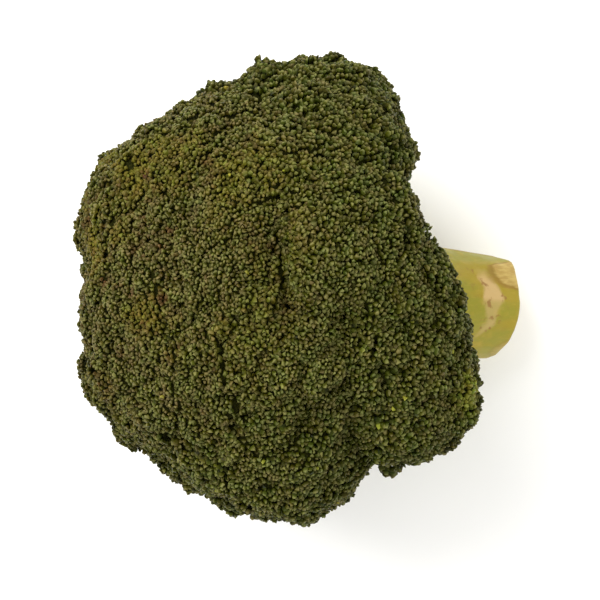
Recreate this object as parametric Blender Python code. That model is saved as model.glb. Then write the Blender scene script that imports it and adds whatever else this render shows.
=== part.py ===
"""Broccoli head as cut for sale, lying on its side on the lowest rim florets and the end of its stalk.

The head grows along its own axis: a thick stalk swells into a knuckle, branches leave the knuckle
like spokes, and each branch ends in a floret, a ball of tight buds on a funnel of small stems.
Neighbouring florets press flat against each other. Everything is modelled upright, with the axis
along +Z and the crown's widest level at Z = 0, and hangs on one empty, which lays the head down.
"""

import math

import bmesh
import bpy
import numpy as np
from mathutils import Matrix, Vector, noise
from mathutils.geometry import intersect_point_line

MM = 0.001

# Crown
CROWN_RADIUS = 84 * MM  # from the axis to the outermost buds
CROWN_HEIGHT = 80 * MM  # from the widest level to the top buds
PRESS_GAP = 0.4 * MM  # between pieces that touch

# Floret: a ball down to its shoulder, then a funnel that narrows to the neck
SHOULDER_ANGLE = math.radians(102)  # from the floret's axis
NECK_DROP = 0.88  # of the ball's radius, from its centre to the neck
NECK_RADIUS = 6.2 * MM
FLORET_SEGMENTS = 20
BALL_RINGS = 7
FUNNEL_RINGS = 3
LUMP_HEIGHT = 1.3 * MM
LUMP_SPACING = 15 * MM

# Stalk, and the knuckle where it divides into branches
STALK_LENGTH = 90 * MM  # from the widest level to the cut
STALK_RADIUS = 21 * MM
STALK_TAPER = 0.95  # of that radius, at the cut
STALK_LEAN = 6 * MM  # to the right at the cut, seen with bearing 0 on top
STALK_SEGMENTS = 28
# The stalk ends in a corner: its bearing and half width in degrees, and how far it stands out
CORNER_BEARING = 39
CORNER_HALF_WIDTH = 14
CORNER_HEIGHT = 0.25  # of the stalk's radius
KNUCKLE_RADIUS = 23.5 * MM
KNUCKLE_DEPTH = 25 * MM  # of the knuckle's centre, below the widest level

# Flats left by the knife, as (bearing, slope towards the cut, mm from the middle of the cut end)
TRIMMED = (
    (88, 6, 18.6),
    (20, 3, 21.6),
    (183, 5, 18.5),
    (305, 6, 19.6),
    (240, 30, 17.5),
)

# Branch: round, from the knuckle to a floret's neck
BRANCH_SEGMENTS = 9
BRANCH_RINGS = 4
BRANCH_WAIST = 0.82  # of the radius at its foot

# Florets as (bearing, angle from the top, ball radius mm, reach mm beyond the even dome), by rings.
# Bearing 0 is the side that faces up when the head lies down, and 90 is to its left.
TOP = ((180, 6, 36, 0),)
UPPER = (
    (18, 34, 34, 0),
    (82, 40, 34, 1),
    (131, 42, 34, 6),
    (183, 38, 34, -3),
    (231, 37, 35, 7),
    (300, 35, 33, 0),
)
SIDE = (
    (10, 64, 31, 1),
    (47, 56, 30, 0),
    (86, 72, 28, 0),
    (120, 64, 29, -4),
    (150, 68, 30, 0),
    (186, 70, 29, 0),
    (221, 68, 30, 1),
    (256, 60, 30, 0),
    (293, 67, 31, 4),
    (330, 52, 29, 1),
)
RIM = (
    (352, 88, 26, 0),
    (22, 80, 22, -7),
    (46, 80, 22, 0),
    (71, 87, 27, 3),
    (98, 98, 24, -3),
    (126, 94, 26, 0),
    (160, 95, 27, 1),
    (200, 95, 27, 1),
    (234, 94, 26, 0),
    (268, 94, 25, 0),
    (296, 100, 18, -12),
    (324, 93, 29, 6),
)
RINGS = {"top": TOP, "upper": UPPER, "side": SIDE, "rim": RIM}
FOOT_RADIUS = {"top": 4 * MM, "upper": 4.4 * MM, "side": 5 * MM, "rim": 5.6 * MM}
FORK_DEPTH = {"top": 25 * MM, "upper": 25 * MM, "side": 31 * MM, "rim": 40 * MM}

# Colours as (red, green, blue) in linear light, and roughness
BUD_GREEN = ((0.062, 0.068, 0.018), 0.6)
BRANCH_GREEN = ((0.33, 0.42, 0.12), 0.5)
STALK_GREEN = ((0.46, 0.44, 0.12), 0.45)


class Floret:
    """Where one floret sits: its ball's centre and radius, and the axis that its branch grows along."""

    def __init__(self, ring, number, bearing, from_top, ball, reach):
        self.ring = ring
        self.label = ring if len(RINGS[ring]) == 1 else f"{ring}_{number:02d}"
        bearing, from_top = math.radians(bearing), math.radians(from_top)
        outward = Vector(
            (
                math.sin(from_top) * math.cos(bearing),
                math.sin(from_top) * math.sin(bearing),
                math.cos(from_top),
            )
        )
        self.ball = ball * MM
        self.centre = outward * (dome_radius(from_top) + reach * MM - self.ball)
        self.fork = Vector((0, 0, -FORK_DEPTH[ring]))  # where its branch's axis meets the stalk's
        self.axis = (self.centre - self.fork).normalized()

    def neck(self):
        return self.centre - self.axis * (NECK_DROP * self.ball)

    def leaves_knuckle(self):
        """Where the branch's axis comes out of the knuckle."""
        return self.fork + self.axis * to_knuckle(self.fork, self.axis)


def to_knuckle(start, direction):
    """Distance from a point inside the knuckle to just outside its surface."""
    from_centre = start - Vector((0, 0, -KNUCKLE_DEPTH))
    along = from_centre.dot(direction)
    radius = KNUCKLE_RADIUS + PRESS_GAP
    return math.sqrt(along**2 - from_centre.length_squared + radius**2) - along


def dome_radius(from_top):
    """Distance from the crown's centre to its even outer dome, at an angle from the top."""
    return 1 / math.hypot(math.sin(from_top) / CROWN_RADIUS, math.cos(from_top) / CROWN_HEIGHT)


def all_florets():
    return [
        Floret(ring, number, *place)
        for ring, places in RINGS.items()
        for number, place in enumerate(places, start=1)
    ]


def material(name, finish):
    colour, roughness = finish
    made = bpy.data.materials.new(name)
    made.use_nodes = True
    shader = made.node_tree.nodes["Principled BSDF"]
    shader.inputs["Base Color"].default_value = (*colour, 1)
    shader.inputs["Roughness"].default_value = roughness
    shader.inputs["Metallic"].default_value = 0
    return made


def lathe(bm, profile, segments):
    """A closed turned body about +Z, from (radius, height) pairs listed from the bottom to the top."""
    rings = []
    for radius, height in profile:
        turns = [2 * math.pi * k / segments for k in range(segments)]
        rings.append(
            [bm.verts.new((radius * math.cos(t), radius * math.sin(t), height)) for t in turns]
        )
    for low, high in zip(rings, rings[1:]):
        for k in range(segments):
            after = (k + 1) % segments
            bm.faces.new((low[k], low[after], high[after], high[k]))
    bm.faces.new(rings[0][::-1])
    bm.faces.new(rings[-1])
    return rings


def slice_off(bm, point, normal):
    """Cuts away everything on the normal's side of a plane, and closes the cut."""
    bmesh.ops.bisect_plane(
        bm,
        geom=bm.verts[:] + bm.edges[:] + bm.faces[:],
        dist=1e-7,
        plane_co=point,
        plane_no=normal,
        clear_outer=True,
    )
    open_edges = [edge for edge in bm.edges if edge.is_boundary]
    if open_edges:
        bmesh.ops.holes_fill(bm, edges=open_edges, sides=0)


def finished_object(name, bm, parent, look, sharp=40):
    bmesh.ops.dissolve_degenerate(bm, dist=2e-5, edges=bm.edges[:])
    bmesh.ops.triangulate(bm, faces=bm.faces[:])
    bmesh.ops.recalc_face_normals(bm, faces=bm.faces[:])
    mesh = bpy.data.meshes.new(name)
    bm.to_mesh(mesh)
    bm.free()
    mesh.shade_smooth()
    mesh.set_sharp_from_angle(angle=math.radians(sharp))
    mesh.materials.append(look)
    made = bpy.data.objects.new(name, mesh)
    bpy.context.collection.objects.link(made)
    made.parent = parent
    return made


def floret_profile(ball):
    """(radius, height) pairs about the ball's centre, from the neck up over the top."""
    shoulder = Vector((ball * math.sin(SHOULDER_ANGLE), ball * math.cos(SHOULDER_ANGLE)))
    neck = Vector((NECK_RADIUS, -NECK_DROP * ball))
    hollow = Vector((0.42 * ball, -0.52 * ball))  # pulls the funnel's side in below the shoulder
    pairs = []
    for k in range(FUNNEL_RINGS):
        t = k / FUNNEL_RINGS
        pairs.append(neck * (1 - t) ** 2 + hollow * (2 * t * (1 - t)) + shoulder * t**2)
    for k in range(BALL_RINGS):
        angle = SHOULDER_ANGLE * (1 - k / BALL_RINGS)
        pairs.append(Vector((ball * math.sin(angle), ball * math.cos(angle))))
    return pairs


def raise_lumps(bm, floret):
    """Swells the ball's side and top in soft lumps, where the buds stand in clusters."""
    for vert in bm.verts:
        height = LUMP_HEIGHT * noise.noise(vert.co / LUMP_SPACING * 1.7)
        away = (vert.co - floret.centre).normalized()
        share = max(0.0, min(1.0, 0.5 + away.dot(floret.axis)))
        vert.co += away * height * share


def build_floret(floret, others, parent, look):
    bm = bmesh.new()
    lathe(bm, floret_profile(floret.ball), FLORET_SEGMENTS)
    turn = floret.axis.to_track_quat("Z", "Y").to_matrix().to_4x4()
    bm.transform(Matrix.Translation(floret.centre) @ turn)
    raise_lumps(bm, floret)
    for other in others:
        between = other.centre - floret.centre
        apart = between.length
        if other is floret or apart > floret.ball + other.ball + 2 * LUMP_HEIGHT:
            continue
        # The plane through the circle where the two balls cross, moved back by half the gap
        along = (apart**2 + floret.ball**2 - other.ball**2) / (2 * apart)
        normal = between / apart
        slice_off(bm, floret.centre + normal * (along - PRESS_GAP / 2), normal)
        # A flat against the neighbour's branch, where that passes close by
        line = (other.leaves_knuckle(), other.neck())
        share = intersect_point_line(floret.centre, *line)[1]
        beside = line[0].lerp(line[1], max(0, min(1, share))) - floret.centre
        room = beside.length - NECK_RADIUS - PRESS_GAP
        if room < floret.ball:
            slice_off(bm, floret.centre + beside.normalized() * room, beside.normalized())
    return finished_object(f"{floret.label}_floret", bm, parent, look)


def build_branch(floret, others, parent, look):
    # Neighbouring branches leave the knuckle side by side, so the nearest one limits the foot
    leaves = floret.leaves_knuckle()
    nearest = min(
        (leaves - other.leaves_knuckle()).length for other in others if other is not floret
    )
    foot = min(FOOT_RADIUS[floret.ring], nearest / 2 - PRESS_GAP)
    end = (floret.neck() - floret.fork).length - PRESS_GAP
    start = (leaves - floret.fork).length
    profile = []
    for k in range(BRANCH_RINGS + 1):
        t = k / BRANCH_RINGS
        waist = 1 - (1 - BRANCH_WAIST) * math.sin(math.pi * min(1, 1.4 * t))
        flare = (NECK_RADIUS - foot) * t**2
        profile.append((foot * waist + flare, start + (end - start) * t))
    bm = bmesh.new()
    rings = lathe(bm, profile, BRANCH_SEGMENTS)
    turn = floret.axis.to_track_quat("Z", "Y").to_matrix().to_4x4()
    bm.transform(Matrix.Translation(floret.fork) @ turn)
    # The foot follows the round knuckle
    cap = bmesh.ops.poke(bm, faces=[face for face in bm.faces if set(face.verts) == set(rings[0])])
    for vert in rings[0] + cap["verts"]:
        back = floret.axis * start
        vert.co += floret.axis * to_knuckle(vert.co - back, floret.axis) - back
    return finished_object(f"{floret.label}_branch", bm, parent, look)


def stalk_profile():
    """(radius, height) pairs from below the cut up over the knuckle."""
    cut = -STALK_LENGTH - 6 * MM
    waist = -KNUCKLE_DEPTH - 0.9 * KNUCKLE_RADIUS
    pairs = []
    for k in range(7):
        t = k / 6
        pairs.append((STALK_RADIUS * (STALK_TAPER * (1 - t) + t), cut + (waist - cut) * t))
    for degrees in (118, 100, 82, 65, 49, 34, 20, 8):
        angle = math.radians(degrees)
        height = -KNUCKLE_DEPTH + KNUCKLE_RADIUS * math.cos(angle)
        pairs.append((KNUCKLE_RADIUS * math.sin(angle), height))
    return pairs


def grow_unevenly(bm):
    """Below its knuckle a grown stalk leans, and is a little oval and ribbed."""
    start = KNUCKLE_DEPTH + 0.6 * KNUCKLE_RADIUS
    for vert in bm.verts:
        turn = math.atan2(vert.co.y, vert.co.x)
        down = max(0.0, (-vert.co.z - start) / (STALK_LENGTH - start))
        swell = 1 + min(1, 2 * down) * (
            0.025 * math.cos(2 * turn + 0.6) + 0.015 * math.cos(5 * turn)
        )
        from_corner = (math.degrees(turn) - CORNER_BEARING) / CORNER_HALF_WIDTH
        swell += CORNER_HEIGHT * down**3 * math.exp(-(from_corner**2))
        vert.co.x *= swell
        vert.co.y = vert.co.y * swell - STALK_LEAN * down


def build_stalk(parent, look):
    bm = bmesh.new()
    lathe(bm, stalk_profile(), STALK_SEGMENTS)
    grow_unevenly(bm)
    slice_off(bm, Vector((0, 0, -STALK_LENGTH)), Vector((-0.04, 0, -1)))
    foot = Vector((0, -STALK_LEAN, -STALK_LENGTH))
    for bearing, slope, distance in TRIMMED:
        bearing, slope = math.radians(bearing), math.radians(slope)
        normal = Vector(
            (
                math.cos(bearing) * math.cos(slope),
                math.sin(bearing) * math.cos(slope),
                -math.sin(slope),
            )
        )
        slice_off(bm, foot + normal * (distance * MM), normal)
    return finished_object("stalk", bm, parent, look, sharp=28)


def weighed(obj):
    """(volume, its first moment) of a closed mesh, added up over tetrahedra to the origin."""
    mesh = obj.data
    mesh.calc_loop_triangles()
    points = np.array([vert.co for vert in mesh.vertices])
    a, b, c = (points[[t.vertices[k] for t in mesh.loop_triangles]] for k in range(3))
    volumes = np.einsum("ij,ij->i", a, np.cross(b, c)) / 6
    return volumes.sum(), ((a + b + c) / 4 * volumes[:, None]).sum(axis=0)


def lie_down(parent, pieces):
    """Turns the upright head onto the three points it rests on, with its stalk towards +X."""
    bm = bmesh.new()
    for piece in pieces:
        for vert in piece.data.vertices:
            bm.verts.new(vert.co)
    hull = bmesh.ops.convex_hull(bm, input=bm.verts[:])["geom"]
    faces = [item for item in hull if isinstance(item, bmesh.types.BMFace)]
    bmesh.ops.recalc_face_normals(bm, faces=faces)
    volumes, moments = zip(*(weighed(piece) for piece in pieces))
    balance = Vector(sum(moments) / sum(volumes))
    # It lies with its up side, bearing 0, on top: the lowest side is at bearing 180, towards the stalk
    lowest = Vector((-math.cos(math.radians(41)), 0, -math.sin(math.radians(41))))

    def under(face):
        """How far the face's normal is from lowest, for a face that the balance point stands over."""
        drop = (face.verts[0].co - balance).dot(face.normal)
        foot = balance + face.normal * drop
        inside = bmesh.geometry.intersect_face_point(face, foot)
        return face.normal.angle(lowest) if inside else math.pi

    base = min(faces, key=under)
    down = base.normal.copy()
    stalkward = Vector((0, 0, -1))
    x = (stalkward - down * stalkward.dot(down)).normalized()
    z = -down
    turn = Matrix((x, z.cross(x), z)).to_4x4()
    bm.free()
    points = np.array([turn @ vert.co for piece in pieces for vert in piece.data.vertices])
    low, high = points.min(axis=0), points.max(axis=0)
    bottom_centre = Vector(((low[0] + high[0]) / 2, (low[1] + high[1]) / 2, low[2]))
    parent.matrix_world = Matrix.Translation(-bottom_centre) @ turn


def build_head():
    for obj in list(bpy.data.objects):
        bpy.data.objects.remove(obj)
    head = bpy.data.objects.new("head", None)
    bpy.context.collection.objects.link(head)
    buds = material("bud_green", BUD_GREEN)
    branches = material("branch_green", BRANCH_GREEN)
    florets = all_florets()
    pieces = [build_stalk(head, material("stalk_green", STALK_GREEN))]
    pieces += [build_branch(floret, florets, head, branches) for floret in florets]
    pieces += [build_floret(floret, florets, head, buds) for floret in florets]
    lie_down(head, pieces)


build_head()
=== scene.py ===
"""Broccoli head: buds, small stems, branches and stalk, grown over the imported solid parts.

Every floret is a bed under a close carpet of flower buds, and small stems climb to it from its
branch. The florets' balls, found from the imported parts, are melted together where they have grown
into one another, and the buds follow them into folds between lobes and tufts and into crevices.
Sizes are in metres, and the head lies as it is packed, with its stalk towards +X.
"""

import math

import bmesh
import bpy
import numpy as np
from bpy.props import FloatProperty, FloatVectorProperty, IntProperty, PointerProperty
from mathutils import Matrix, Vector
from mathutils.bvhtree import BVHTree


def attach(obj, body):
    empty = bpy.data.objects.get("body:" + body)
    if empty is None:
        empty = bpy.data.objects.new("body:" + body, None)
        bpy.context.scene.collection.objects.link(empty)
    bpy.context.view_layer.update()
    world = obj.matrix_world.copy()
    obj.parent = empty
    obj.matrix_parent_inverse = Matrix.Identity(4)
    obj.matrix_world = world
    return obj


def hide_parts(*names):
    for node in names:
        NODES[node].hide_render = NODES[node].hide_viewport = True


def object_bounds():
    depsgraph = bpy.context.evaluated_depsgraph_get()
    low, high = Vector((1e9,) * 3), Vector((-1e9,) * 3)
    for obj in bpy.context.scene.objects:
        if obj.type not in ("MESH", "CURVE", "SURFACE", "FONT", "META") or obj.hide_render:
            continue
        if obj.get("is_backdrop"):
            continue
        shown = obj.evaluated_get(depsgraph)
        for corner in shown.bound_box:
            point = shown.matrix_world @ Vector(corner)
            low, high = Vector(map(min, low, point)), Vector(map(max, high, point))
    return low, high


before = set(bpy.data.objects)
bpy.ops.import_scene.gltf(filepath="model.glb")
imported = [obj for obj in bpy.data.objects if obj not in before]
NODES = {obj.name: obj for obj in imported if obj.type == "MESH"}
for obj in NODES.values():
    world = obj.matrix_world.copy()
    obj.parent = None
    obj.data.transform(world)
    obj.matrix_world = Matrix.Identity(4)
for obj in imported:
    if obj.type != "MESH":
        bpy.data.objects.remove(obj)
CAD_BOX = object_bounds()

bl_info = {
    "name": "Broccoli head",
    "version": (1, 0, 0),
    "blender": (4, 5, 0),
    "location": "View3D > Sidebar > Broccoli",
    "description": "Grows a broccoli head's buds, stems and stalk over its solid parts",
    "category": "Mesh",
}

MM = 0.001
GOLDEN_TURN = math.pi * (3 - math.sqrt(5))

# The head's own axis, which leans back from the stalk, and the middle of its widest level
HEAD_UP = np.array((-0.7667, 0.0, 0.6420))
HEAD_FRONT = np.array((0.6420, 0.0, 0.7667))
HEAD_SIDE = np.array((0.0, 1.0, 0.0))
RIPEST = np.array((-50, 12, 110)) * MM  # where the head has ripened most
SPRIG = np.array((58, -35, 120)) * MM  # a young, yellower sprig at the rim
CROWN_CENTRE = np.array((-1.34, -0.11, 71.91)) * MM
STALK_LENGTH = 90 * MM  # from that level to the cut
KNUCKLE_DEPTH = 25 * MM  # from that level to the middle of the knuckle
# From that level to where the branches of each ring of florets fork off
FORK_DEPTH = {"top": 25 * MM, "upper": 25 * MM, "side": 31 * MM, "rim": 40 * MM}
STALK_LEAN, LEAN_START = 6 * MM, 39 * MM  # how far aside its cut end is, and where the bend starts
STALK_SWELL, STALK_STRETCH = 0.7 * MM, 1.2 * MM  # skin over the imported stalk, and at its cut end
TABLE = CAD_BOX[0].z

# Floret
SHOULDER = math.radians(102)  # where the ball turns into its funnel, from the floret's axis
FUNNEL_FOOT = math.radians(174)  # where its small stems leave the neck, from the same axis
BED_POINTS = 1100
TOUCHING = 0.9 * MM  # a surface this near to another part is pressed against it
LONGEST_REACH = 60 * MM  # further from a floret's middle than any of its buds
SMALLEST_BALL = 0.65  # the least that is left of a ball's radius in the melted crown
BED_UNDER_BUDS = 1.3  # how far the bed lies under the buds' tips, in spacings of the buds
ROOM_FOR_STEMS = 2.2 * MM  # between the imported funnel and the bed's
CLEARANCE = 0.3 * MM
BEND_HEIGHT, BEND_WIDTH = 1.5 * MM, 30 * MM
WRINKLE_HEIGHT, WRINKLE_WIDTH = 0.9 * MM, 11 * MM
CREVICE_PATCH = 17 * MM  # a crevice opens and closes over about this length
CREVICE_WIDTH, OPEN_WIDTH = 1.8 * MM, 1.5 * MM  # half widths: just open, and what opening adds
USUAL_CREVICES = (0.05, 0.5)  # how open those are that CREVICES doesn't give
CREVICE_UNEVENNESS, CREVICE_LIMITS = 0.3, (0.2, 0.85)  # along its length, around a half
SUNK_WIDTH, SUNK_DEPTH = 3 * MM, 2 * MM  # the bed lies this much deeper in an open crevice

# Buds next to another floret
AT_WALL = 0.2  # nearer to it than this share of their spacing, they are at the wall between the two
OVER_WALL = 0.4 * MM  # less than this far down, they are right over that wall
WALL_START, WALL_DEPTH = 1.8 * MM, 3.5 * MM  # how far down the wall they start and end
# A bud with fewer others than this within so many spacings is left out
FEWEST_OTHERS, COMPANY_REACH = 4, 2.2

# How open the crevice between two neighbouring florets is, where it isn't left to chance
CREVICES = {
    ("side_01", "upper_01"): 1.5,
    ("side_01", "side_10"): 1.3,
    ("rim_12", "side_10"): 1.7,
    ("rim_12", "side_09"): 3.4,
    ("rim_01", "rim_02"): 3.0,
    ("rim_11", "rim_12"): 2.0,
    ("rim_10", "rim_12"): 2.0,
    ("rim_11", "side_09"): 2.0,
    ("rim_10", "side_09"): 1.0,
    ("side_09", "side_10"): 1.0,
    ("side_10", "upper_06"): 0.35,
    ("side_02", "side_03"): 0.5,
    ("rim_04", "side_03"): 0.35,
    ("side_01", "side_02"): 0.35,
    ("top", "upper_02"): 0.3,
    ("rim_02", "rim_03"): 1.8,
    ("side_08", "upper_06"): 0.5,
    ("side_08", "upper_05"): 0.9,
    ("rim_01", "side_01"): 0.2,
    ("rim_01", "side_10"): 0.3,
    ("rim_01", "rim_12"): 0.05,
    ("top", "upper_03"): 0.05,
    ("top", "upper_04"): 0.05,
    ("upper_02", "upper_03"): 0.05,
    ("top", "upper_01"): 0.1,
    ("top", "upper_06"): 0.05,
    ("upper_01", "upper_06"): 0.1,
    ("upper_01", "upper_02"): 0.1,
    ("side_02", "upper_01"): 0.15,
    ("side_02", "upper_02"): 0.15,
    ("rim_03", "side_02"): 0.1,
    ("rim_03", "rim_04"): 0.1,
    ("rim_03", "side_01"): 0.15,
    ("side_04", "upper_03"): 1.4,
}
# How much further out than its packed ball a floret has grown; the rest have USUAL_GROWTH
USUAL_GROWTH = -0.4 * MM
GROWTH = {
    "upper_05": -4.2 * MM,
    "upper_04": -1.6 * MM,
    "upper_03": -3.2 * MM,
    "top": -1.0 * MM,
    "side_04": -4.5 * MM,
    "side_03": -1.2 * MM,
    "side_09": 3.9 * MM,
    "side_08": 0.3 * MM,
    "side_07": 0.4 * MM,
    "rim_01": -1.6 * MM,
    "rim_02": -4.6 * MM,
    "rim_10": -4.0 * MM,
    "rim_11": -5.0 * MM,
    "rim_12": -1.8 * MM,
}

# Bud, as shares of its half width and half length: a cone from its foot to its waist, a dome above
BUD_SIDES = 6
BUD_FOOT, BUD_WAIST, BUD_TIP = -1.0, 0.0, 0.95
BUD_DOME = (0.6, 0.76)  # height and radius of the ring between waist and tip
BUD_RIDGE = 0.11  # how far its three outer sepals stand out
# How one bud differs from the next: in width, length and roundness, then in depth, lean and dents
BUD_WIDTHS, BUD_LENGTHS, BUD_OVALS = (0.8, 1.16), (0.85, 1.25), (0.76, 1.32)
BUD_UNEVENNESS, BUD_TILT, BUD_DENTS = 0.27 * MM, 0.34, 0.16

# Branch
BRANCH_SIDES, BRANCH_STEPS = 16, 14
BRANCH_ROOT, BRANCH_END = 5 * MM, 2.5 * MM  # how far it runs on into the knuckle and its floret
BRANCH_FLARE, FLARE_LENGTH = 1.6 * MM, 3.5 * MM
BRANCH_RIBS = ((5, 0.035), (3, 0.02))  # how many, and their height as a share of the radius

BUDS, STEMS, BED = 0, 1, 2  # material slots of a floret

# Stalk
STALK_SIDES = 96
CUT_NORMAL = -(HEAD_UP + 0.04 * HEAD_FRONT)  # the cut end leans back a little
# Knife's flats on the stalk: bearing and slope in degrees, how far the flat lies from the middle
# of the cut end, and how much bare flesh shows on it
KNIFE_FLATS = (
    (88, 6, 18.6 * MM, 0.55),
    (20, 3, 21.35 * MM, 1.0),
    (183, 5, 18.5 * MM, 0.5),
    (305, 6, 19.6 * MM, 0.35),
    (240, 30, 17.5 * MM, 0.6),
)
SCAR_DOWN, SCAR_SIDE = 78 * MM, -5 * MM  # middle of the leaf scar, as depth and place across
SCAR_HALF_WIDTH, SCAR_HALF_LENGTH = 4.8 * MM, 13 * MM
SCAR_BOW = 36 * MM

# Sockets and settings of nodes that recur: outputs first, then the two colours that a mix node
# goes from and to by its share
OBJECT, FACTOR, VALUE, MIXED = 3, 2, 1, 2
FROM, TO = 6, 7
COLOURS = {"data_type": "RGBA"}
SOFT = {"interpolation_type": "SMOOTHSTEP"}
PLUS, LESS, TIMES, LARGER, DOT, LENGTH, DISTANCE = (
    {"operation": way}
    for way in ("ADD", "SUBTRACT", "MULTIPLY", "MAXIMUM", "DOT_PRODUCT", "LENGTH", "DISTANCE")
)
SKIN_IOR = 1.42  # of moist plant skin

# Stage
FLOOR_WIDTH = 6.0
LAMP_PLACE, LAMP_TARGET = Vector((-0.75, 0.65, 1.25)), Vector((0, 0, 0.06))
CAMERA_OVER = (-0.64 * MM, -3.9 * MM)  # the camera looks straight down at this place on the floor

# Map of a piece, from 0 to 1 each way
MAP_NAME = "OFBake"
WHOLE_MAP = (0.02, 0.02, 0.96, 0.96)  # left, low, width and height
STEM_STRIP = 0.24  # the lowest part of a floret's map holds its bed and stems


def between(low, high, to_low=0.0, to_high=1.0):
    """The inputs of a map-range node."""
    return {"From Min": low, "From Max": high, "To Min": to_low, "To Max": to_high}


def linear(hex_colour):
    """An sRGB hex colour in linear light, which shaders and lamps work in."""
    shares = [int(hex_colour[k : k + 2], 16) / 255 for k in (0, 2, 4)]
    return tuple(c / 12.92 if c <= 0.04045 else ((c + 0.055) / 1.055) ** 2.4 for c in shares)


def colour_property(name, description, hex_colour):
    return FloatVectorProperty(
        name=name,
        description=description,
        subtype="COLOR",
        size=3,
        min=0,
        max=1,
        default=linear(hex_colour),
    )


def length_property(name, description, millimetres):
    return FloatProperty(
        name=name, description=description, unit="LENGTH", default=millimetres * MM, min=0
    )


class BudSettings(bpy.types.PropertyGroup):
    """Sizes and colours of the buds and of the tufts and lobes they stand in."""

    seed: IntProperty(name="Seed", description="Starts every random choice", default=7)
    top_spacing: length_property("Spacing on top", "Between buds at the top of the head", 1.3)
    rim_spacing: length_property("Spacing at the rim", "Between buds at the head's rim", 1.45)
    fatness: FloatProperty(
        name="Fatness", description="Width of a bud over its room", default=1.22, min=0.5
    )
    slimness: FloatProperty(
        name="Slimness on top", description="Length of a bud over its width", default=1.15, min=0.5
    )
    rim_slimness: FloatProperty(
        name="Slimness at the rim",
        description="Length of a bud over its width",
        default=1.6,
        min=0.5,
    )
    lobe_spacing: length_property("Lobe", "Width of the soft lobes on a floret", 14)
    lobe_depth: length_property("Lobe fold", "Depth of the folds between lobes", 2.6)
    tuft_spacing: length_property("Tuft", "Width of a tuft of buds", 5.6)
    tuft_depth: length_property("Tuft fold", "Depth of the gaps between tufts", 1.9)
    fanning: FloatProperty(
        name="Fanning", description="How far a tuft's buds lean apart", default=0.9
    )
    rim_droop: FloatProperty(
        name="Droop", description="How far the rim's buds hang over", default=0.5
    )
    melt: length_property("Melting", "How widely florets grow into one another", 9)
    crevice_depth: length_property("Crevice", "Depth of an open crevice between florets", 4.2)
    # Painted shade: the dark colour at the foot of each bud and on the stem tips under the buds
    painted_shade_colour: colour_property("Shaded base", "Foot of a bud", "191A00")
    green_colour: colour_property("Green", "Side of a fresh bud", "353507")
    # The tip colour is partly the wax bloom and partly a painted highlight
    bloom_and_highlight_colour: colour_property("Waxy tip", "Tip of a bud under its bloom", "645F36")
    ripe_colour: colour_property("Ripening", "Buds that start to yellow", "5B5518")
    petal_colour: colour_property("Petals", "Buds that start to open", "86802A")
    rust_colour: colour_property("Rusty", "Buds that dry to a reddish brown", "462E18")


class StemSettings(bpy.types.PropertyGroup):
    """Sizes and colours of the stems under the buds and of the branches."""

    stem_radius: length_property("Stem radius", "Radius of a stem where it leaves its branch", 1.9)
    stems: IntProperty(name="Stems", description="Stems round a floret's neck", default=10, min=3)
    skin_colour: colour_property("Skin", "Skin of a branch", "8F9A55")
    pale_colour: colour_property("Pale streaks", "Streaks along a branch", "B9BE83")
    deep_colour: colour_property("Deep green", "Stems near the buds", "4E5A26")


class StalkSettings(bpy.types.PropertyGroup):
    """Colours of the stalk's skin, scars and cuts."""

    skin_colour: colour_property("Skin", "Yellow skin", "998512")
    green_colour: colour_property("Green skin", "Greener bands of the skin", "8C8517")
    ring_colour: colour_property("Ring", "Green ring round the pith of the cut end", "B8B264")
    pale_colour: colour_property("Pale skin", "Lighter patches of the skin", "AC922E")
    cut_colour: colour_property("Cut", "Flesh on the knife's flats", "A88A42")
    core_colour: colour_property("Core", "Pith in the cut end", "BCA258")
    scar_colour: colour_property("Scar", "Dried, pinkish leaf scars", "C2A26A")
    bruise_colour: colour_property("Bruise", "Brown spots and edges", "84581C")


class StageSettings(bpy.types.PropertyGroup):
    """Camera, floor and light."""

    camera_height: length_property("Camera height", "From the floor up to the camera", 925)
    focal_length: FloatProperty(name="Focal length", description="In millimetres", default=141.7)
    key_power: FloatProperty(
        name="Key light", description="Power of the large lamp", unit="POWER", default=26
    )
    fill: FloatProperty(name="Fill", description="Strength of the even light", default=1.15)
    floor_colour: colour_property("Floor", "Pale table top", "FBFAF8")


# Small geometry


def unit(vectors):
    return vectors / np.maximum(np.linalg.norm(vectors, axis=-1, keepdims=True), 1e-12)


def smooth_step(low, high, values):
    t = np.clip((values - low) / (high - low), 0, 1)
    return t * t * (3 - 2 * t)


def ring_of(first, second, sides):
    """(turns, directions) evenly round a circle, from the first direction towards the second."""
    turns = 2 * math.pi * np.arange(sides) / sides
    return turns, np.cos(turns)[:, None] * first + np.sin(turns)[:, None] * second


def points_of(node):
    """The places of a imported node's vertices, each once."""
    mesh = node.data
    places = np.empty(len(mesh.vertices) * 3, np.float32)
    mesh.vertices.foreach_get("co", places)
    return np.unique(places.reshape(-1, 3).round(6), axis=0).astype(float)


def surface_of(nodes):
    """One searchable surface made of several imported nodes."""
    points, triangles = [], []
    for node in nodes:
        mesh = node.data
        mesh.calc_loop_triangles()
        start = len(points)
        points.extend(vert.co.copy() for vert in mesh.vertices)
        triangles.extend([start + k for k in tri.vertices] for tri in mesh.loop_triangles)
    return BVHTree.FromPolygons(points, triangles)


def even_directions(count):
    """Directions spread evenly round a point, in the spiral that seeds grow in."""
    k = np.arange(count) + 0.5
    z = 1 - 2 * k / count
    across = np.sqrt(1 - z * z)
    turn = GOLDEN_TURN * k
    return np.stack([across * np.cos(turn), across * np.sin(turn), z], 1)


def uneven_directions(count, looseness, rng):
    """Even directions, each moved by a share of the distance to its neighbour, turned at random."""
    gap = math.sqrt(4 * math.pi / (0.866 * count))
    moved = unit(even_directions(count) + rng.normal(0, looseness * gap, (count, 3)))
    turned, _ = np.linalg.qr(rng.normal(0, 1, (3, 3)))
    return moved @ turned


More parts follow.
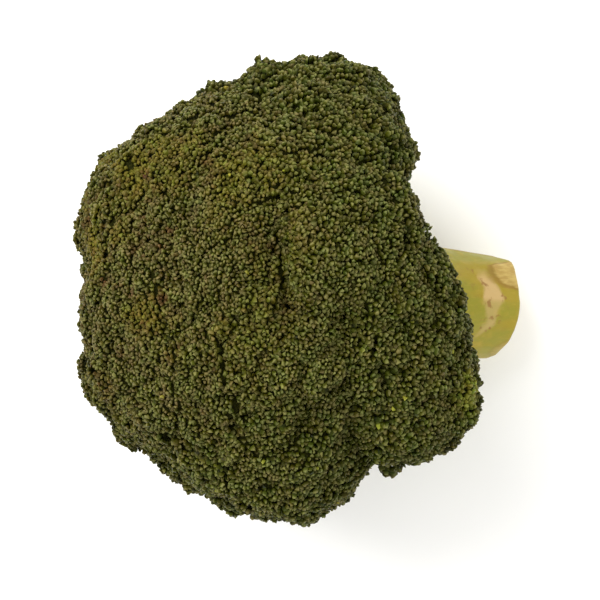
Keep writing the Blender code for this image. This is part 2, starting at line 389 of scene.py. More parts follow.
def axes_about(direction):
    """Three rows: two directions across the given one, and that one."""
    up = unit(np.asarray(direction, float))
    other = HEAD_SIDE if abs(up @ HEAD_SIDE) < 0.9 else HEAD_FRONT
    across = unit(np.cross(other, up))
    return np.stack([across, np.cross(up, across), up])


def fitted_ball(points, neck, along):
    """Centre and radius of the ball that most of the points lie on, with its centre on a line."""
    kept = points - neck
    kept = kept[kept @ along > 0.45 * (kept @ along).max()]
    for _ in range(6):
        terms = np.c_[2 * kept @ along, np.ones(len(kept))]
        drop, rest = np.linalg.lstsq(terms, (kept**2).sum(1), rcond=None)[0]
        radius = math.sqrt(rest + drop**2)
        off = np.abs(np.linalg.norm(kept - along * drop, axis=1) - radius)
        kept = kept[off <= max(1.2 * MM, np.quantile(off, 0.8))]
    return neck + along * drop, radius


def ball_net(count):
    """Even directions, and the triangles that join them into a closed ball."""
    directions = even_directions(count)
    bm = bmesh.new()
    for direction in directions:
        bm.verts.new(direction)
    bmesh.ops.convex_hull(bm, input=bm.verts[:])
    bm.verts.index_update()
    triangles = np.array([[vert.index for vert in face.verts] for face in bm.faces])
    bm.free()
    a, b, c = (directions[triangles[:, k]] for k in range(3))
    inward = (np.cross(b - a, c - a) * a).sum(1) < 0
    triangles[inward] = triangles[inward][:, ::-1]
    return directions, triangles


class Shape:
    """The points and faces of one piece, gathered group by group."""

    def __init__(self, faceted=None):
        """faceted is the slot whose faces keep their edges."""
        self.faceted = faceted
        self.points, self.faces, self.places, self.slots = [], [], [], []
        self.marks = {"rise": [], "tone": []}
        self.count = 0

    def add(self, points, faces, places, slots, rise=0.0, tone=0.5):
        """faces index into points; places hold a spot on the map for each corner of each face."""
        self.points.append(points)
        self.faces.append(faces + self.count)
        self.places.append(places)
        self.slots.append(np.broadcast_to(slots, len(faces)))
        self.marks["rise"].append(np.broadcast_to(rise, len(points)))
        self.marks["tone"].append(np.broadcast_to(tone, len(points)))
        self.count += len(points)

    def add_rings(self, rings, box, slot, rise, tone=0.5):
        """A closed body through rings of points. box: its left, low, width, height on the map."""
        steps, sides = rings.shape[:2]
        k, side = (x.ravel() for x in np.indices((steps - 1, sides)))
        after = (side + 1) % sides
        faces = np.stack([side, after, after + sides, side + sides], 1) + k[:, None] * sides
        corner, size = np.array(box[:2]), np.array(box[2:])
        u = np.stack([side, side + 1, side + 1, side], 1) / sides
        v = (np.stack([k, k, k + 1, k + 1], 1) + 0.5) / steps
        places = np.stack([u, 0.08 + 0.84 * v], 2) * size + corner
        self.add(rings.reshape(-1, 3), faces, places, slot, np.repeat(rise, sides), tone)
        # Its two ends are a group of faces of their own, as they have more corners
        first, last = np.arange(sides)[::-1], np.arange(sides) + (steps - 1) * sides
        self.faces.append(np.stack([first, last]) + self.count - steps * sides)
        _, cap = ring_of(*np.eye(2) * 0.03, sides)
        self.places.append(np.stack([cap[::-1] + (0.5, 0.04), cap + (0.5, 0.96)]) * size + corner)
        self.slots.append(np.full(2, slot))

    def finish(self, name, materials):
        """Makes the mesh and its object, resting on the table where it reaches that far down."""
        mesh = bpy.data.meshes.new(name)
        corners = np.concatenate([group.ravel() for group in self.faces])
        totals = np.concatenate([np.full(len(g), g.shape[1]) for g in self.faces])
        starts = np.cumsum(totals) - totals
        mesh.vertices.add(self.count)
        points = np.concatenate(self.points)
        points[:, 2] = np.maximum(points[:, 2], TABLE)
        mesh.vertices.foreach_set("co", points.ravel())
        mesh.loops.add(len(corners))
        mesh.loops.foreach_set("vertex_index", corners.astype(np.int32))
        mesh.polygons.add(len(totals))
        mesh.polygons.foreach_set("loop_start", starts.astype(np.int32))
        mesh.update(calc_edges=True)
        mesh.polygons.foreach_set("material_index", np.concatenate(self.slots).astype(np.int32))
        layer = mesh.uv_layers.new(name=MAP_NAME)
        spots = np.concatenate([group.reshape(-1, 2) for group in self.places])
        layer.uv.foreach_set("vector", spots.ravel().astype(np.float32))
        for mark, values in self.marks.items():
            written = mesh.attributes.new(mark, "FLOAT", "POINT")
            written.data.foreach_set("value", np.concatenate(values).astype(np.float32))
        if mesh.validate():
            raise RuntimeError(f"{name} came out with faulty faces")
        mesh.shade_smooth()
        if self.faceted is not None:
            smooth = np.concatenate(self.slots) != self.faceted
            mesh.polygons.foreach_set("use_smooth", smooth)
        for material in materials:
            mesh.materials.append(material)
        piece = bpy.data.objects.new(name, mesh)
        bpy.context.scene.collection.objects.link(piece)
        return piece


def add_tube(shape, path, radii, across, box, slot, rise, tone=0.5):
    """A closed round stem along a path. radii has a row for each of its points, a column a side."""
    along = unit(np.gradient(path, axis=0))
    first = unit(across - (across * along).sum(1, keepdims=True) * along)
    second = np.cross(along, first)
    _, ring = ring_of(first[:, None], second[:, None], radii.shape[1])
    shape.add_rings(path[:, None] + ring * radii[:, :, None], box, slot, rise, tone)


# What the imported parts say


class Floret:
    """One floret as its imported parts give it: its ball, its axes and its neck."""

    def __init__(self, name):
        self.name = name
        own = (f"{name}_floret", f"{name}_branch")
        node, branch = (NODES[part] for part in own)
        self.surface = surface_of([node])
        self.branch_surface = surface_of([branch])
        self.others = surface_of([part for key, part in NODES.items() if key not in own])
        # The branch is round about the line from its fork: its middle and its end lie on that line
        points, arm = points_of(node), points_of(branch)
        fork = CROWN_CENTRE - HEAD_UP * FORK_DEPTH[name.split("_")[0]]
        outward = unit(arm.mean(0) - fork)
        far = (arm - fork) @ outward
        self.neck = fork + outward * far.max()
        self.axes = axes_about(outward)
        self.arm_length = far.max() - np.quantile(far, 0.08)
        room = np.array([self.others.find_nearest(Vector(p))[3] for p in points])
        self.centre, self.radius = fitted_ball(points[room > TOUCHING], self.neck, self.axes[2])
        self.from_top = math.acos(np.clip(unit(self.centre - CROWN_CENTRE) @ HEAD_UP, -1, 1))

    def packed_reach(self, directions):
        """Distance from the ball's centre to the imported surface, or 0 where a line meets none."""
        middle = Vector(self.centre)
        casts = [self.surface.ray_cast(middle, Vector(d))[3] for d in directions]
        return np.array([distance or 0.0 for distance in casts])


def floret_names():
    """Names of the florets, without the ending of their nodes' names."""
    return sorted(key[: -len("_floret")] for key in NODES if key.endswith("_floret"))


# Florets


def scatter(places, gap, rng):
    """Which places to keep so that no two are nearer than gap, tried in random order."""
    free, kept = np.ones(len(places), bool), []
    for k in rng.permutation(len(places)):
        if free[k]:
            kept.append(k)
            free &= ((places - places[k]) ** 2).sum(1) > gap**2
    return np.array(kept)


def distances(first, second):
    """Distance from each of the first places to each of the second."""
    squares = (first**2).sum(1)[:, None] + (second**2).sum(1)[None] - 2 * first @ second.T
    return np.sqrt(np.maximum(squares, 0))


def folds(places, seeds, width):
    """(fold, lift): 1 in the folds where two seeds' cells meet, and a soft height for each cell."""
    gaps = distances(places, seeds)
    nearest = np.partition(gaps, 1, axis=1)[:, :2]
    fold = (nearest[:, 0] / nearest[:, 1]) ** 3
    # The cells' heights are spread from -1 to 1 as if by chance, and a few stand well above the rest
    height = np.sin((np.arange(len(seeds)) + 1) * 12.9898) * 43.7 % 1 * 2 - 1
    height = np.where(height > 0.86, 2.0, height)
    pull = np.exp(-((gaps**2 - nearest[:, :1] ** 2) / (0.35 * width**2)))
    return fold, (pull * height).sum(1) / pull.sum(1)


class Waves:
    """Smooth random ups and downs through space, about this wide and mostly from -1 to 1."""

    def __init__(self, width, rng, count=7):
        self.vectors = unit(rng.normal(0, 1, (count, 3))).T * 2 * math.pi / width
        self.vectors = self.vectors * rng.uniform(0.7, 1.4, count)
        self.phases = rng.uniform(0, 2 * math.pi, count)

    def __call__(self, places):
        return np.sin(places @ self.vectors + self.phases).mean(1) * 1.9


class Crown:
    """All the florets' balls, melted together where they have grown into one another."""

    def __init__(self, florets, sizes):
        self.florets, self.sizes = florets, sizes
        self.centres = np.array([floret.centre for floret in florets])
        self.radii = np.array([floret.radius for floret in florets])
        rng = np.random.default_rng(sizes.seed)
        self.open = self.crevices(rng)
        self.bends = [Waves(BEND_WIDTH, rng) for _ in range(3)]
        self.wrinkles = [Waves(WRINKLE_WIDTH, rng) for _ in range(3)]
        self.openness = Waves(CREVICE_PATCH, rng)
        growth = np.array([GROWTH.get(floret.name, USUAL_GROWTH) for floret in florets])
        tops = self.centres + unit(self.centres - CROWN_CENTRE) * (self.radii + growth)[:, None]
        # Melting swells every ball, so each is made smaller until its top is back in its place
        smallest = SMALLEST_BALL * self.radii
        for _ in range(8):
            gaps = self.gaps(tops)
            swell = [
                self.outside(k, tops[k : k + 1], gaps[k : k + 1])[0] for k in range(len(florets))
            ]
            self.radii = np.maximum(self.radii + np.array(swell), smallest)

    def crevices(self, rng):
        """How open the crevice between each two florets is."""
        names = [floret.name for floret in self.florets]
        chance = rng.uniform(*USUAL_CREVICES, (len(names), len(names)))
        opened = np.triu(chance, 1)
        for (first, second), share in CREVICES.items():
            i, j = sorted((names.index(first), names.index(second)))
            opened[i, j] = share
        return opened + opened.T

    def bent(self, places):
        """Where places lie once the crown's bends and wrinkles are straightened."""
        moved = [
            BEND_HEIGHT * bend(places) + WRINKLE_HEIGHT * wrinkle(places)
            for bend, wrinkle in zip(self.bends, self.wrinkles)
        ]
        return places + np.stack(moved, 1)

    def gaps(self, places):
        """Distance from each place to each ball, below zero inside it."""
        return distances(self.bent(places), self.centres) - self.radii

    def opened(self, k, places):
        """How open the crevice to each other floret is at each place."""
        uneven = np.clip(0.5 + CREVICE_UNEVENNESS * self.openness(places), *CREVICE_LIMITS)
        return np.minimum(self.open[k] * uneven[:, None], 1)

    def nearness(self, k, gaps):
        """How near each ball is to a place, next to floret k's own."""
        return np.exp(np.clip((gaps[:, k : k + 1] - gaps) / self.sizes.melt, -30, 30))

    def outside(self, k, places, gaps):
        """How far places are outside the melted crown, as floret k sees it."""
        pulls = (1 - self.opened(k, places)) * self.nearness(k, gaps)
        pulls[:, k] = 1
        return gaps[:, k] - self.sizes.melt * np.log(pulls.sum(1))

    def outward(self, k, places):
        """Directions straight out of the melted crown."""
        away = unit(self.bent(places)[:, None] - self.centres[None])
        nearness = self.nearness(k, self.gaps(places))
        return unit((nearness[:, :, None] * away).sum(1))

    def reach(self, k, directions):
        """Distance from floret k's centre to the crown's surface or the next floret's territory."""
        centre = self.centres[k]
        low, high = np.zeros(len(directions)), np.full(len(directions), LONGEST_REACH)
        for _ in range(13):  # halvings, which come to within a hundredth of a millimetre
            middle = (low + high) / 2
            places = centre + directions * middle[:, None]
            gaps = self.gaps(places)
            inside = (self.outside(k, places, gaps) < 0) & (gaps.argmin(1) == k)
            low, high = np.where(inside, middle, low), np.where(inside, high, middle)
        return low

    def margin(self, k, places):
        """(distance to the next floret's territory, how open the crevice to it is)."""
        gaps = self.gaps(places)
        own = gaps[:, k].copy()
        gaps[:, k] = 1
        opened = self.opened(k, places)[np.arange(len(places)), gaps.argmin(1)]
        return np.maximum(gaps.min(1) - own, 0) / 2, opened


class Bed:
    """The surface that a floret's buds stand on."""

    def __init__(self, crown, k, net, rng):
        self.crown, self.k = crown, k
        self.floret, self.sizes = crown.florets[k], crown.sizes
        self.lowness = smooth_step(math.radians(15), math.radians(95), self.floret.from_top)
        top, rim = self.sizes.top_spacing, self.sizes.rim_spacing
        self.spacing = top + (rim - top) * self.lowness
        self.directions = net @ self.floret.axes
        self.reach = crown.reach(k, self.directions)
        self.places = self.floret.centre + self.directions * self.reach[:, None]
        self.lobes = self.seeds(self.sizes.lobe_spacing, rng)
        self.tufts = self.seeds(self.sizes.tuft_spacing, rng)

    def seeds(self, spacing, rng):
        places = self.places + rng.normal(0, 0.08 * spacing, self.places.shape)
        return places[scatter(places, 0.82 * spacing, rng)]

    def depth(self, places):
        """How far folds and crevices take the buds' tips down from the crown's even surface."""
        sizes = self.sizes
        lobe, lobe_lift = folds(places, self.lobes, sizes.lobe_spacing)
        tuft, tuft_lift = folds(places, self.tufts, sizes.tuft_spacing)
        margin, opened = self.crown.margin(self.k, places)
        crevice = np.exp(-((margin / (CREVICE_WIDTH + OPEN_WIDTH * opened)) ** 2)) * opened
        return (
            sizes.lobe_depth * (lobe - 0.35 * lobe_lift)
            + sizes.tuft_depth * (tuft - 0.5 * tuft_lift)
            + sizes.crevice_depth * crevice
        )


def add_bed(shape, floret, bed, net):
    """The closed body under the buds, which narrows to the floret's neck."""
    local, triangles = net
    slant = np.arccos(np.clip(local[:, 2], -1, 1))
    under_buds = smooth_step(SHOULDER + 0.09, SHOULDER - 0.02, slant)
    funnel = floret.packed_reach(bed.directions)
    neck = smooth_step(math.radians(160), math.radians(172), slant)
    funnel = np.where(funnel > 0, np.minimum(funnel, bed.reach), bed.reach)
    funnel -= ROOM_FOR_STEMS * (1 - neck) + CLEARANCE * neck
    margin, opened = bed.crown.margin(bed.k, bed.places)
    in_crevice = np.exp(-((margin / SUNK_WIDTH) ** 2)) * opened
    sunk = bed.depth(bed.places) + BED_UNDER_BUDS * bed.spacing + SUNK_DEPTH * in_crevice
    below = bed.places - bed.crown.outward(bed.k, bed.places) * sunk[:, None]
    below -= bed.directions * CLEARANCE
    points = floret.centre + bed.directions * funnel[:, None]
    points += (below - points) * under_buds[:, None]
    points[:, 2] = np.maximum(points[:, 2], TABLE + 1 * MM)
    # The bed under the buds takes the material of painted shade, the funnel below it the stems' skin
    dressed = np.where((slant[triangles] < SHOULDER + 0.05).all(1), BED, STEMS)
    # Its map is a disc with the top of the floret in the middle
    spread = slant / math.pi * 0.49
    flat = unit(local[:, :2]) * spread[:, None] + 0.5
    shape.add(points, triangles, flat[triangles] * STEM_STRIP, dressed)


def place_buds(floret, bed, rng):
    """Places for a floret's buds on the crown's even surface."""
    crown, k, centre, gap = bed.crown, bed.k, floret.centre, bed.spacing
    count = int(4 * 4 * math.pi * bed.reach.max() ** 2 / gap**2)
    directions = uneven_directions(count, 0.5, rng)
    directions = directions[directions @ floret.axes[2] > math.cos(SHOULDER + 0.03)]
    places = centre + directions * crown.reach(k, directions)[:, None]
    # Next to another floret, buds also stand some way down the wall between the two, and just one
    # of the two has buds right over that wall
    walled = crown.margin(k, places)[0] < AT_WALL * gap
    gaps = crown.gaps(places)
    under = -crown.outside(k, places, gaps)
    gaps[:, k] = 1
    over_wall = (under < OVER_WALL) & (gaps.argmin(1) > k)
    places = places[~walled | over_wall | ((under > WALL_START) & (under < WALL_DEPTH))]
    places = places[scatter(places, 0.74 * gap, rng)]
    # Crowded buds push one another apart, but not across the line to the next floret
    for _ in range(6):
        apart = distances(places, places)
        np.fill_diagonal(apart, 1)
        push = np.where(apart < gap, 0.5 * (gap / np.maximum(apart, 0.3 * gap) - 1), 0)
        moved = places + places * push.sum(1)[:, None] - push @ places
        directions = unit(moved - centre)
        moved = centre + directions * crown.reach(k, directions)[:, None]
        stays = crown.margin(k, moved)[0] < AT_WALL * gap
        places = np.where(stays[:, None], places, moved)
    others = (distances(places, places) < COMPANY_REACH * gap).sum(1) - 1
    return places[others >= FEWEST_OTHERS]


def bud_net():
    """One bud of half width 1 and half length 1: points, faces, and a map spot for each corner."""
    turns, ring = ring_of(*np.eye(3)[:2], BUD_SIDES)
    ridge = 1 + BUD_RIDGE * np.cos(3 * turns)[:, None]
    up = np.array((0, 0, 1.0))
    high, wide = BUD_DOME
    points = np.concatenate([
        ring * ridge + up * BUD_WAIST,
        ring * wide * ridge + up * high * ridge,
        [up * BUD_TIP, up * BUD_FOOT],
    ])
    side = np.arange(BUD_SIDES)
    after = (side + 1) % BUD_SIDES
    waist, dome = side, side + BUD_SIDES
    tip, foot = np.full((2, BUD_SIDES), ((2 * BUD_SIDES,), (2 * BUD_SIDES + 1,)))
    faces = np.concatenate([
        np.stack([waist, after, after + BUD_SIDES], 1),
        np.stack([waist, after + BUD_SIDES, dome], 1),
        np.stack([dome, after + BUD_SIDES, tip], 1),
        np.stack([after, waist, foot], 1),
    ])
    out = np.concatenate([np.full(BUD_SIDES, 0.33), np.full(BUD_SIDES, 0.19), [0, 0]])
    spots = np.concatenate([ring, ring, [0 * up, 0 * up]])[:, :2] * out[:, None]
    spots = spots[faces]
    # The foot is spread out into points of a star round the rest
    halfway = turns + math.pi / BUD_SIDES
    spots[-BUD_SIDES:, 2] = np.stack([np.cos(halfway), np.sin(halfway)], 1) * 0.46
    return points, faces, spots + 0.48


def add_buds(shape, floret, bed, rng):
    """Sets the floret's buds on its bed, and gives how many there are."""
    places = place_buds(floret, bed, rng)
    outward = bed.crown.outward(bed.k, places)
    count, sizes = len(places), bed.sizes
    apart = distances(places, places)
    np.fill_diagonal(apart, 1)
    # A bud is as wide as the mean distance to its four nearest neighbours lets it be
    near = np.partition(apart, 3, axis=1)[:, :4].mean(1)
    half_width = sizes.fatness * 0.5 * np.clip(near, 0.8 * bed.spacing, 1.15 * bed.spacing)
    half_width *= rng.uniform(*BUD_WIDTHS, count)
    slimness = sizes.slimness + (sizes.rim_slimness - sizes.slimness) * bed.lowness
    half_length = half_width * slimness * rng.uniform(*BUD_LENGTHS, count)
    depth = bed.depth(places) + half_length * 0.8 + rng.normal(0, BUD_UNEVENNESS, count)
    centres = places - outward * depth[:, None]
    # Buds fan out from the middle of their tuft
    tuft = bed.tufts[distances(places, bed.tufts).argmin(1)]
    fan = (places - tuft) / sizes.tuft_spacing
    droop = -sizes.rim_droop * bed.lowness * HEAD_UP
    lean = unit(outward + sizes.fanning * fan + droop + rng.normal(0, BUD_TILT, (count, 3)))
    across = unit(np.cross(lean, rng.normal(0, 1, (count, 3))))
    second = np.cross(lean, across)
    net, net_faces, spots = bud_net()
    oval = rng.uniform(*BUD_OVALS, (count, 1))
    wide = half_width[:, None]
    points = (
        centres[:, None]
        + (net[:, 0] * wide * oval)[:, :, None] * across[:, None]
        + (net[:, 1] * wide / oval)[:, :, None] * second[:, None]
        + (net[:, 2] * half_length[:, None])[:, :, None] * lean[:, None]
    )
    points += rng.normal(0, BUD_DENTS, points.shape) * half_width[:, None, None]
    # What lies on the table is pressed up by it
    points[:, :, 2] += np.maximum(TABLE - points[:, :, 2].min(1), 0)[:, None]
    start = (np.arange(count) * len(net))[:, None, None]
    columns = math.ceil(math.sqrt(count / (1 - STEM_STRIP)))
    cell = 1 / columns
    corner = np.stack([np.arange(count) % columns, np.arange(count) // columns], 1) * cell
    corner[:, 1] += STEM_STRIP
    tone = np.repeat(rng.uniform(0, 1, count), len(net))
    rise = np.tile((net[:, 2] - net[:, 2].min()) / np.ptp(net[:, 2]), count)
    shape.add(
        points.reshape(-1, 3),
        (net_faces[None] + start).reshape(-1, 3),
        (corner[:, None, None] + spots[None] * cell).reshape(-1, 3, 2),
        BUDS,
        rise,
        tone,
    )
    return count


def add_stems(shape, floret, bed, stems, rng):
    """Small stems that leave a floret's neck, climb its funnel, fork, and end under its buds."""
    sides, steps = 6, 6
    first_turn = rng.uniform(0, 2 * math.pi)
    tubes = []
    for k in range(stems.stems):
        turn = first_turn + 2 * math.pi * (k + rng.uniform(-0.25, 0.25)) / stems.stems
        thick = stems.stem_radius * rng.uniform(0.8, 1.1)
        fork = rng.uniform(0.5, 0.7)
        tubes.append((turn, turn + rng.normal(0, 0.05), 0.0, fork, thick, thick * 0.85))
        for way in (-1, 1):
            swing = way * math.pi / stems.stems * rng.uniform(0.35, 0.6)
            tubes.append((turn, turn + swing, fork - 0.06, 1.0, thick * 0.72, thick * 0.5))
    columns = len(tubes)
    for index, (turn, last_turn, start, end, thick, thin) in enumerate(tubes):
        t = np.linspace(start, end, steps)
        from_axis = FUNNEL_FOOT + (SHOULDER - 0.10 - FUNNEL_FOOT) * t**0.8
        turns = turn + (last_turn - turn) * smooth_step(0, 1, (t - start) / (end - start))
        aside, up = np.sin(from_axis), np.cos(from_axis)
        local = np.stack([aside * np.cos(turns), aside * np.sin(turns), up], 1)
        directions = local @ floret.axes
        reach = floret.packed_reach(directions)
        if reach.min() == 0:
            continue
        # They end under the buds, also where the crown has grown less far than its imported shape
        crowned = np.minimum(reach, bed.crown.reach(bed.k, directions))
        reach = reach + (crowned - reach) * smooth_step(0.3, 0.8, t)
        radius = np.linspace(thick, thin, steps)
        path = floret.centre + directions * (reach - radius - CLEARANCE)[:, None]
        path[:, 2] = np.maximum(path[:, 2], TABLE + 1.3 * radius)
        box = (
            STEM_STRIP + 0.01 + (0.98 - STEM_STRIP) * index / columns,
            0.01,
            0.9 * (0.98 - STEM_STRIP) / columns,
            STEM_STRIP - 0.02,
        )
        radii = np.repeat(radius[:, None], sides, 1)
        add_tube(shape, path, radii, directions, box, STEMS, t, rng.uniform(0, 1))


def grow_floret(crown, k, stems, materials, net):
    """Makes floret k's piece, and gives how many buds it has."""
    floret = crown.florets[k]
    rng = np.random.default_rng(crown.sizes.seed * 1000 + k)
    bed = Bed(crown, k, net[0], rng)
    shape = Shape(faceted=BUDS)
    add_bed(shape, floret, bed, net)
    buds = add_buds(shape, floret, bed, rng)
    add_stems(shape, floret, bed, stems, rng)
    piece = shape.finish(f"{floret.name}_buds", materials)
    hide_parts(f"{floret.name}_floret")
    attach(piece, "root")
    return buds


# Materials


def feed(tree, node, inputs):
    """Sets a node's inputs, each to a value or to the output that feeds it."""
    for name, value in inputs.items():
        socket = node.inputs[name]
        if isinstance(value, bpy.types.NodeSocket):
            tree.links.new(value, socket)
        elif socket.type == "RGBA":
            socket.default_value = (*value[:3], 1)
        else:
            socket.default_value = value


def add(tree, kind, settings=None, inputs=None, output=0):
    """Adds one node with its settings and inputs, and gives its output."""
    node = tree.nodes.new(kind)
    for name, value in (settings or {}).items():
        setattr(node, name, value)
    feed(tree, node, inputs or {})
    return node.outputs[output]


def per(millimetres):
    """A pattern's scale for features of this size, as textures count them in a metre."""
    return 1 / (millimetres * MM)


def new_material(name):
    """A new material, its nodes and its shader."""
    material = bpy.data.materials.new(name)
    material.use_nodes = True
    return material, material.node_tree, material.node_tree.nodes["Principled BSDF"]


def waxy_flower_buds(buds):
    """Living plant skin under a thin wax bloom: soft, pale glints on dark green, never a mirror, with
    painted shade at each bud's foot and a painted highlight over the wax bloom at its tip.
    """
    material, tree, shader = new_material("waxy_flower_buds")
    place = add(tree, "ShaderNodeTexCoord", output=OBJECT)
    rise = add(tree, "ShaderNodeAttribute", {"attribute_name": "rise"}, output=FACTOR)
    tone = add(tree, "ShaderNodeAttribute", {"attribute_name": "tone"}, output=FACTOR)
    # Painted shade darkens each bud towards its foot, and its tip is paler, partly from its wax bloom
    # and partly a painted highlight
    up = add(tree, "ShaderNodeMapRange", SOFT, {"Value": rise, **between(0.25, 0.72)})
    side = add(
        tree, "ShaderNodeMix", COLOURS, {0: up, FROM: buds.painted_shade_colour, TO: buds.green_colour}, MIXED
    )
    tip = add(tree, "ShaderNodeMapRange", SOFT, {"Value": rise, **between(0.68, 1.0)})
    fresh = add(tree, "ShaderNodeMix", COLOURS, {0: tip, FROM: side, TO: buds.bloom_and_highlight_colour}, MIXED)
    # Patches about 26 mm wide ripen to yellow and 9 mm ones dry to rust, mostly round one spot
    apart = add(tree, "ShaderNodeVectorMath", DISTANCE, {0: place, 1: RIPEST}, VALUE)
    high = add(
        tree, "ShaderNodeMapRange", SOFT, {"Value": apart, **between(20 * MM, 95 * MM, 1.0, 0.0)}
    )
    wide = add(tree, "ShaderNodeTexNoise", None, {"Vector": place, "Scale": per(26), "Detail": 2.0})
    small = add(tree, "ShaderNodeTexNoise", None, {"Vector": place, "Scale": per(9), "Detail": 3.0})
    turned = fresh
    for patches, spread, colour in (
        (wide, between(0.45, 0.72, 0.0, 0.8), buds.ripe_colour),
        (small, between(0.52, 0.75, 0.0, 0.75), buds.rust_colour),
    ):
        share = add(tree, "ShaderNodeMapRange", SOFT, {"Value": patches, **spread})
        share = add(tree, "ShaderNodeMath", TIMES, {0: share, 1: high})
        # Each patch's colour also gets the painted shade towards the bud's foot
        shaded = add(
            tree, "ShaderNodeMix", COLOURS, {0: up, FROM: buds.painted_shade_colour, TO: colour}, MIXED
        )
        turned = add(tree, "ShaderNodeMix", COLOURS, {0: share, FROM: turned, TO: shaded}, MIXED)
    # About one bud in four hundred starts to open and shows its yellow petals, and those of the
    # young sprig come near that colour
    open_bud = add(
        tree, "ShaderNodeMapRange", SOFT, {"Value": tone, **between(0.9972, 0.9995, 0.0, 0.6)}
    )
    apart = add(tree, "ShaderNodeVectorMath", DISTANCE, {0: place, 1: SPRIG}, VALUE)
    young = add(
        tree, "ShaderNodeMapRange", SOFT, {"Value": apart, **between(3 * MM, 12 * MM, 0.4, 0.0)}
    )
    petals = add(
        tree, "ShaderNodeMix", COLOURS, {0: up, FROM: buds.green_colour, TO: buds.petal_colour}, MIXED
    )
    for share in (open_bud, young):
        turned = add(tree, "ShaderNodeMix", COLOURS, {0: share, FROM: turned, TO: petals}, MIXED)
    # Tufts about 6 mm wide are yellower or greener, and each bud is lighter or darker than the next
    patch = add(tree, "ShaderNodeTexNoise", None, {"Vector": place, "Scale": per(6), "Detail": 1.0})
    hue = add(tree, "ShaderNodeMapRange", SOFT, {"Value": patch, **between(0.3, 0.7, 0.522, 0.49)})
    greener = add(
        tree, "ShaderNodeMapRange", None, {"Value": high, **between(0.0, 1.0, 0.010, -0.012)}
    )
    hue = add(tree, "ShaderNodeMath", PLUS, {0: hue, 1: greener})
    own = add(tree, "ShaderNodeTexWhiteNoise", {"noise_dimensions": "1D"}, {"W": tone})
    own_hue = add(
        tree, "ShaderNodeMapRange", None, {"Value": own, **between(0.0, 1.0, -0.026, 0.026)}
    )
    hue = add(tree, "ShaderNodeMath", PLUS, {0: hue, 1: own_hue})
    value = add(tree, "ShaderNodeMapRange", None, {"Value": tone, **between(0.0, 1.0, 0.73, 1.42)})
    shade = add(
        tree, "ShaderNodeHueSaturation", None, {"Hue": hue, "Value": value, "Color": turned}
    )
    # Folded sepals are finer than a tenth of a millimetre apart; drawn at 0.6 mm so that they show
    sepals = add(
        tree, "ShaderNodeTexNoise", None, {"Vector": place, "Scale": per(0.6), "Detail": 2.0}
    )
    relief = {"Strength": 0.4, "Distance": 0.15 * MM, "Height": sepals}
    rough = add(tree, "ShaderNodeMapRange", SOFT, {"Value": small, **between(0.3, 0.7, 0.34, 0.5)})
    feed(tree, shader, {
        "Base Color": shade,
        "Normal": add(tree, "ShaderNodeBump", None, relief),
        "Roughness": rough,
        "IOR": SKIN_IOR,
        "Specular IOR Level": 0.08,
    })
    return material


def shaded_stem_tips(buds):
    """Crowded tips of the finest stems, deep under the buds: painted shade in dark green, a little
    lighter at each tip, without any gloss.
    """
    material, tree, shader = new_material("shaded_stem_tips")
    place = add(tree, "ShaderNodeTexCoord", output=OBJECT)
    # Tips stand about 0.8 mm apart
    tips = add(tree, "ShaderNodeTexVoronoi", None, {"Vector": place, "Scale": per(0.8)})
    share = add(tree, "ShaderNodeMapRange", SOFT, {"Value": tips, **between(0.2, 0.7, 0.5, 0.0)})
    # Painted shade: the bed under the buds is coloured as dark as the shade between them
    dark = add(
        tree, "ShaderNodeMix", COLOURS, {0: share, FROM: buds.painted_shade_colour, TO: buds.green_colour}, MIXED
    )
    relief = {"Strength": 0.8, "Distance": 0.4 * MM, "Height": tips}
    feed(tree, shader, {
        "Base Color": dark,
        "Normal": add(tree, "ShaderNodeBump", {"invert": True}, relief),
        "Roughness": 0.9,
        "Specular IOR Level": 0.1,
    })
    return material


def young_stem_skin(stems):
    """Thin tender skin of the small stems: pale green, deeper towards the buds, slightly waxy."""
    material, tree, shader = new_material("young_stem_skin")
    place = add(tree, "ShaderNodeTexCoord", output=OBJECT)
    rise = add(tree, "ShaderNodeAttribute", {"attribute_name": "rise"}, output=FACTOR)
    tone = add(tree, "ShaderNodeAttribute", {"attribute_name": "tone"}, output=FACTOR)
    # Blotches of thicker wax, about 4 mm wide
    blotch = add(
        tree, "ShaderNodeTexNoise", None, {"Vector": place, "Scale": per(4), "Detail": 3.0}
    )
    share = add(tree, "ShaderNodeMapRange", SOFT, {"Value": blotch, **between(0.3, 0.7)})
    skin = add(
        tree, "ShaderNodeMix", COLOURS, {0: share, FROM: stems.skin_colour, TO: stems.pale_colour}, MIXED
    )
    share = add(tree, "ShaderNodeMapRange", SOFT, {"Value": rise, **between(0.3, 1.0)})
    green = add(
        tree, "ShaderNodeMix", COLOURS, {0: share, FROM: skin, TO: stems.deep_colour}, MIXED
    )
    value = add(tree, "ShaderNodeMapRange", None, {"Value": tone, **between(0.0, 1.0, 0.8, 1.1)})
    shade = add(tree, "ShaderNodeHueSaturation", None, {"Value": value, "Color": green})
    relief = {"Strength": 0.3, "Distance": 0.2 * MM, "Height": blotch}
    feed(tree, shader, {
        "Base Color": shade,
        "Normal": add(tree, "ShaderNodeBump", None, relief),
        "Roughness": 0.5,
        "IOR": SKIN_IOR,
    })
    return material


